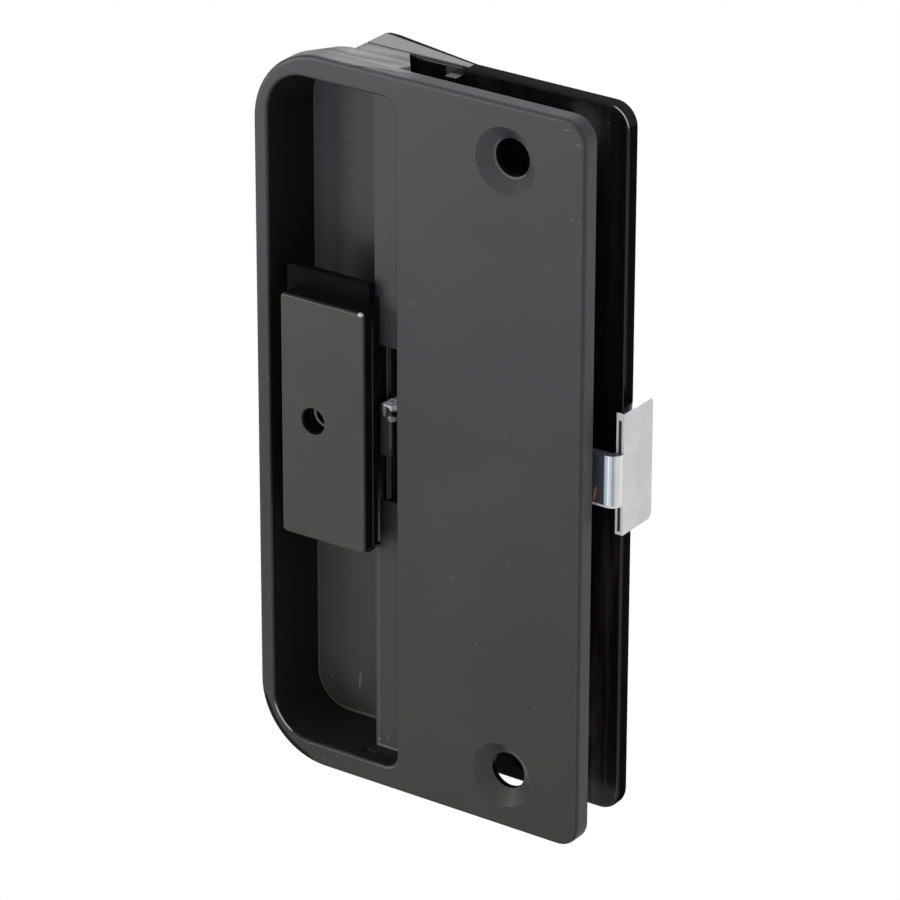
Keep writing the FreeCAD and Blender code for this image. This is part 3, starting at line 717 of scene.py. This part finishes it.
def paint_grip_light_and_shade(material):
    """Painted light on the top of the grip, painted shade along its outer edge, and painted light on the
    two visible sides of the rib.
    """
    # Painted light on the top of the grip.
    grip_top = material.upward.between(0.85, 0.95) * material.x.below(GRIP_END) * material.y.above(GRIP_FRONT)
    material.join(grip_top, GRIP_TOP_LIGHT)
    # Painted shade along the grip top's outer edge.
    slope = material.y + material.x * GRIP_SLOPE - GRIP_EDGE
    material.join(grip_top * slope.between(-0.78, -0.62), GLOSS_TOP_SHADE)
    # Painted light on the rib's end and on the strip beside it.
    rib_end = material.upward.above(0.8) * band(material.x, *RIB_TOP) * material.y.below(RIB_BACK)
    material.join(rib_end, RIB_LIGHT_GREY)
    rib_side = material.toward.below(-0.8) * band(material.x, *RIB_SIDE) * material.y.above(RIB_BACK)
    material.join(rib_side, RIB_LIGHT_GREY)


def polished_plastic():
    """The outside pull's plastic."""
    material = gloss_base()
    paint_plate_shade_and_glint(material)
    paint_grip_light_and_shade(material)
    return material.data


gloss_plastic = polished_plastic()
print("gloss plastic:", len(gloss_plastic.node_tree.nodes), "nodes")

# %% [markdown]
# ## Plated steel
#
# The latch strip is cold-rolled sheet with a bright plating. The rolling left faint lines along the
# strip, and the plating clouds where it was handled. Metal shows its surroundings more than its own
# colour, so noise in its gloss and its bumps matters more than noise in its tone. In the window and
# under the key the strip sits in shade, which is painted, and only its lip shines, with painted
# highlights. A painted bluish reflection lies across the bend of the neck.

# %% Plated sheet
PLATING = ((0.60, 0.61, 0.63, 1.0), (0.70, 0.71, 0.725, 1.0))
BEND_REFLECTION_BLUE = (0.47, 0.60, 0.73, 1.0)
BEND_REFLECTION_BAND = (from_left(45.75), from_left(46.55))
WINDOW_RIGHT = from_left(20.5)
UNDER_KEY = from_left(17.0)
STRIP_HOLE_BORDER = (1.6, 1.92)
# The two dark steels are painted shade, and the white is for painted highlights.
WINDOW_SHADE_STEEL = {"Base Color": (0.060, 0.060, 0.058, 1.0), "Metallic": 1.0, "Roughness": 0.45}
SHADED_STEEL = {"Base Color": (0.015, 0.015, 0.016, 1.0), "Metallic": 1.0, "Roughness": 0.40}
HIGHLIGHT_WHITE = {"Base Color": (0.80, 0.81, 0.83, 1.0), "Roughness": 0.30}
# Each painted highlight on the lip: its middle, its half sizes, its lean and its strength
LIP_SPOTS = (
    ((18.15, 49.02), (1.10, 0.36), 0.0, 1.0),
    ((18.65, 48.60), (0.50, 0.42), -0.3, 1.0),
    ((17.55, 48.30), (0.28, 1.00), 0.0, 0.25),
    ((18.45, 47.30), (0.55, 0.40), -0.3, 0.4),
)


def plated_sheet():
    """The bright rolled sheet, before its edges."""
    material = Material("plated_steel", {"Metallic": 1.0})
    rolled = material.place.scaled((0.05, 0.05, 1.0)).noise(3.2, 4.0, 0.6)
    cloud = material.place.noise(0.22, 3.0, 0.55)
    fine = material.place.noise(4.5, 3.0, 0.6)
    # A painted bluish reflection in a band across the bend of the neck.
    blue = band(material.x, *BEND_REFLECTION_BAND, 0.15)
    tone = (blue * 0.8).blend(cloud.between(0.3, 0.7).blend(*PLATING), BEND_REFLECTION_BLUE)
    material.connect("Base Color", tone)
    material.connect("Roughness", rolled.between(0.3, 0.7, 0.16, 0.24) + (cloud - 0.5) * 0.10)
    material.connect("Normal", material.bump(rolled * 0.4 + fine * 0.25, 0.12, 0.00003))
    return material


def paint_window_shade_and_highlights(material):
    """Painted shade in the window with painted highlights on the lip, painted shade on the leg under the
    key, and a painted glint on its hole's border.
    """
    in_window = material.x.below(WINDOW_RIGHT)
    # Painted shade in the window.
    material.join(in_window, WINDOW_SHADE_STEEL)
    # Painted highlights on the lip, broken up by noise.
    lip = sum(oval(material, centre, reach, lean) * share for centre, reach, lean, share in LIP_SPOTS)
    highlight_share = material.place.noise(1.6, 1.0).between(0.36, 0.52, 0.35, 1.0)
    material.join(in_window * lip.clamp() * highlight_share, HIGHLIGHT_WHITE)
    # Painted shade on the leg under the key.
    material.join(material.x.below(UNDER_KEY), SHADED_STEEL)
    # A painted glint on the lower left of the hole's border.
    border = band(ring_gap(material, KEY_HOLE), *STRIP_HOLE_BORDER, 0.05)
    material.join(border * lower_left(material, KEY_HOLE, 0.5) * material.toward.below(-0.9), HOLE_RIM_HIGHLIGHT)


print("plated sheet ready")

# %% [markdown]
# ## Head and neck of the strip
#
# The head was punched. Its edge has painted highlights along both rims and painted shade between
# them. The neck beside it mirrors the dark plate as a bluish black, with one bright upright line at
# the bend, a bright line along its foot and an orange spot low on it. A real mirror image would need
# the room of the photograph, so the neck gets these tones by place, as painted reflections and
# highlights.

# %% Plated steel
HEAD_EDGE = from_left(46.25)
CUT_MIDDLE = (from_left(46.58), from_left(46.98))
CUT_HEIGHT = (from_foot(39.3), from_foot(53.0))
NECK_LEFT = from_left(43.5)
SHINE_BAND = (from_left(45.70), from_left(46.20))
NECK_TOP = (from_foot(48.9), from_foot(49.1))
NECK_FOOT = (from_foot(42.5), from_foot(42.85))
NECK_BACK = from_front(5.1)
ORANGE_REFLECTION_SPOT = ((44.45, 43.9), (0.30, 0.9), 0.9)
# Painted shade for the edge's middle, and painted reflections for the neck.
EDGE_SHADE = {"Base Color": (0.020, 0.021, 0.025, 1.0), "Roughness": 0.30}
NECK_BLUE = {"Base Color": (0.095, 0.110, 0.135, 1.0), "Roughness": 0.35}
NECK_SHINE = {"Base Color": (0.74, 0.90, 1.00, 1.0), "Roughness": 0.35}
ORANGE_REFLECTION = {"Base Color": (0.60, 0.26, 0.10, 1.0), "Roughness": 0.35}


def paint_head_highlights_and_reflections(material):
    """Painted highlights and shade on the punched edge of the head, then the painted reflections and
    highlights of the neck.
    """
    cut_edge = material.toward.below(-0.9) * material.x.above(HEAD_EDGE)
    middle = band(material.x, *CUT_MIDDLE, 0.05) * band(material.z, *CUT_HEIGHT, 0.1)
    # Painted highlights on the punched edge, painted shade in its middle.
    material.join(cut_edge, HIGHLIGHT_WHITE)
    material.join(cut_edge * middle, EDGE_SHADE)
    neck = material.x.above(NECK_LEFT)
    flat = material.toward.below(-0.985) * neck * (1.0 - cut_edge)
    # Painted reflections on the neck: bluish black, a bright line at the bend, and on its top.
    material.join(flat * 0.6, NECK_BLUE)
    material.join(flat * band(material.x, *SHINE_BAND, 0.12), NECK_SHINE)
    neck_top = neck * band(material.z, *NECK_TOP, 0.05) * material.upward.above(0.7)
    material.join(neck_top * 0.8, NECK_BLUE)
    # A painted highlight along the neck's foot.
    neck_foot = neck * band(material.z, *NECK_FOOT, 0.05) * material.y.below(NECK_BACK)
    material.join(neck_foot, HIGHLIGHT_WHITE)
    # A painted orange reflection low on the neck.
    material.join(oval(material, *ORANGE_REFLECTION_SPOT) * flat * 0.8, ORANGE_REFLECTION)


def plated_steel():
    """The latch strip's steel."""
    material = plated_sheet()
    paint_window_shade_and_highlights(material)
    paint_head_highlights_and_reflections(material)
    return material.data


steel = plated_steel()
print("steel:", len(steel.node_tree.nodes), "nodes")

# %% [markdown]
# ## Drawn wire
#
# The hinge pin and the spring are drawn steel. In the shade of the window the pin is nearly black,
# so both are painted nearly black as shade, with one painted highlight where the round side meets
# the light. The line follows the normal, so it runs along the whole pin whatever its length.

# %% Steel wire
WIRE_TONES = ((0.04, 0.04, 0.04, 1.0), (0.075, 0.075, 0.075, 1.0))
WIRE_SHADE = {"Base Color": (0.012, 0.012, 0.013, 1.0), "Metallic": 1.0, "Roughness": 0.35}
WIRE_HIGHLIGHT = {"Base Color": (0.22, 0.22, 0.22, 1.0), "Roughness": 0.50}


def drawn_wire():
    """Wire painted dark as shade, with a painted highlight where its surface turns a little to the left.
    """
    material = Material("steel_wire", {"Metallic": 1.0})
    drawn = material.place.scaled((1.0, 1.0, 0.1)).noise(5.0, 3.0, 0.6)
    cloud = material.place.noise(0.6, 3.0, 0.55)
    material.connect("Base Color", cloud.between(0.3, 0.7).blend(*WIRE_TONES))
    material.connect("Roughness", drawn.between(0.3, 0.7, 0.14, 0.24))
    material.connect("Normal", material.bump(drawn, 0.15, 0.00002))
    # Painted shade over all but one line, and a painted highlight on that line.
    front_line = band(material.across, -0.25, -0.02, 0.08)
    material.join((1.0 - front_line) * 0.85, WIRE_SHADE)
    material.join(front_line * 0.8, WIRE_HIGHLIGHT)
    return material.data


wire = drawn_wire()
print("wire:", len(wire.node_tree.nodes), "nodes")

# %% [markdown]
# ## Dress the solids
#
# On the real pull each piece is of one stuff: two black plastics for the housing and the key, a
# glossy one outside, plated sheet and wire. So every solid keeps its shape and takes one material.

# %% Assign materials
FINISH = {
    "inside_housing": housing_plastic,
    "outside_pull": gloss_plastic,
    "thumb_key": key_plastic,
    "latch_strip": steel,
    "hinge_pin": wire,
    "torsion_spring": wire,
}
for name, data in FINISH.items():
    mesh = nodes[name].data
    mesh.materials.clear()
    mesh.materials.append(data)
    print(name, "wears", data.name)

# %% [markdown]
# ## Room
#
# The photograph was taken in a white tent: everything round the part is white, a little brighter
# above. A tent could be modelled, but the world can say the same in a few sums: a soft rise in
# brightness from below to above, and four brighter patches that the black plastic mirrors. The camera
# itself sees pure white.

# %% World
ROOM_BELOW = 0.46
ROOM_ABOVE = 0.70
# Each bright patch of the room: its direction, the cosines at its edge and its core, its strength
REFLECTED = (
    ((-0.52, 0.75, 0.42), 0.70, 1.00, 1.9),
    ((0.52, 0.75, -0.42), 0.75, 1.00, 0.39),
    ((-0.032, -0.907, -0.42), 0.92, 0.98, 1.3),
    ((0.90, 0.00, -0.42), 0.70, 0.95, 0.46),
)


def towards(direction, centre):
    """Cosine between a direction and the middle of a bright patch."""
    inputs = {0: direction, 1: centre}
    return direction.call("ShaderNodeVectorMath", inputs, output=1, operation="DOT_PRODUCT")


def build_world():
    """White for the camera, and the soft tent for everything else."""
    world = bpy.data.worlds.new("studio")
    bpy.context.scene.world = world
    world.use_nodes = True
    tree = world.node_tree
    tree.nodes.clear()
    direction = Flow(tree, None).call("ShaderNodeTexCoord")
    path = tree.nodes.new("ShaderNodeLightPath")
    straight = Flow(tree, path.outputs["Is Camera Ray"])
    seen = straight.math("MAXIMUM", Flow(tree, path.outputs["Is Transmission Ray"]))
    room = direction.split()[2].between(-0.6, 0.9, ROOM_BELOW, ROOM_ABOVE)
    for centre, edge, core, gain in REFLECTED:
        room = room + towards(direction, centre).between(edge, core, 0.0, gain)
    strength = seen + (1.0 - seen) * room
    white = (1.0, 1.0, 1.0, 1.0)
    background = strength.call("ShaderNodeBackground", {"Color": white, "Strength": strength})
    output = tree.nodes.new("ShaderNodeOutputWorld")
    tree.links.new(background.socket, output.inputs[0])


build_world()
print("bright patches:", len(REFLECTED))

# %% [markdown]
# ## Lamps
#
# Two wide lamps, one above and one before the part on its left, give the edges their soft
# highlights. They are wide because the photograph has no hard shadow, and weak because the room
# already gives most of the light.


# %% Lamps
def add_lamp(name, place, width, height, power):
    """A soft rectangular lamp at a place, turned to the origin."""
    data = bpy.data.lights.new(name, "AREA")
    data.shape = "RECTANGLE"
    data.size = width
    data.size_y = height
    data.energy = power
    lamp = bpy.data.objects.new(name, data)
    bpy.context.collection.objects.link(lamp)
    lamp.location = place
    lamp.rotation_euler = (-Vector(place)).to_track_quat("-Z", "Y").to_euler()


add_lamp("top_lamp", (-0.10, -0.15, 0.45), 0.35, 0.30, 0.35)
add_lamp("front_lamp", (-0.40, -0.38, 0.06), 0.30, 0.40, 1.7)
print("lamps:", [item.name for item in bpy.data.lights])

# %% [markdown]
# ## Floor
#
# A pale floor lies well below the part and bounces light up, as the tent's bottom did. In the
# photograph the part hangs free, so neither the camera nor a reflection sees the floor.

# %% Floor
FLOOR_DROP = 0.12
FLOOR_HALF = 0.6
FLOOR_TONES = ((0.8, 0.8, 0.8, 1.0), (0.84, 0.84, 0.84, 1.0))
floor_mesh = bpy.data.meshes.new("floor")
builder = bmesh.new()
bmesh.ops.create_grid(builder, x_segments=2, y_segments=2, size=FLOOR_HALF)
builder.to_mesh(floor_mesh)
builder.free()
floor = bpy.data.objects.new("floor", floor_mesh)
floor.location = (0, 0, cad_box[0][2] - FLOOR_DROP)
floor.visible_camera = False
floor.visible_glossy = False
bpy.context.collection.objects.link(floor)
floor_finish = Material("floor_white", {"Roughness": 0.9})
floor_finish.connect("Base Color", floor_finish.place.noise(0.01).blend(*FLOOR_TONES))
floor_mesh.materials.append(floor_finish.data)
print("floor at", round(floor.location.z, 3))

# %% [markdown]
# ## Camera
#
# The camera stands to the right of the part and above it. Its angles, distance and focal length were
# fitted to the screw holes, the corners of the plates and the latch head, so the part lies in the
# picture as it does in the photograph. SLIDE moves the camera sideways and up, without turning it.
# The distance and the slide are in millimetres.

# %% Camera
AZIMUTH = math.radians(34.637)
ELEVATION = math.radians(24.845)
ROLL = math.radians(0.136)
DISTANCE = 620.0
AIM = spot(25.0, 4.0, 46.0)
SLIDE = (-0.462, -1.793)
FOCAL_PIXELS = 5444.05
SENSOR = 36.0
FRAME_PIXELS = 900.0

level = Vector((math.cos(AZIMUTH), math.sin(AZIMUTH), 0.0))
back = Vector((
    math.sin(AZIMUTH) * math.cos(ELEVATION),
    -math.cos(AZIMUTH) * math.cos(ELEVATION),
    math.sin(ELEVATION),
))
rise = back.cross(level)
right = level * math.cos(ROLL) + rise * math.sin(ROLL)
up = rise * math.cos(ROLL) - level * math.sin(ROLL)
camera_data = bpy.data.cameras.new("camera")
camera_data.sensor_width = SENSOR
camera_data.lens = FOCAL_PIXELS / FRAME_PIXELS * SENSOR
camera_data.clip_start = 0.01
camera_data.clip_end = 10.0
camera = bpy.data.objects.new("camera", camera_data)
bpy.context.collection.objects.link(camera)
stand = AIM + (back * DISTANCE + right * SLIDE[0] + up * SLIDE[1]) * MM
camera.matrix_world = Matrix.Translation(stand) @ Matrix((right, up, back)).transposed().to_4x4()
bpy.context.scene.camera = camera
bpy.context.scene.view_settings.view_transform = "Standard"
print("camera", [round(value, 4) for value in stand], "lens", round(camera_data.lens, 2))
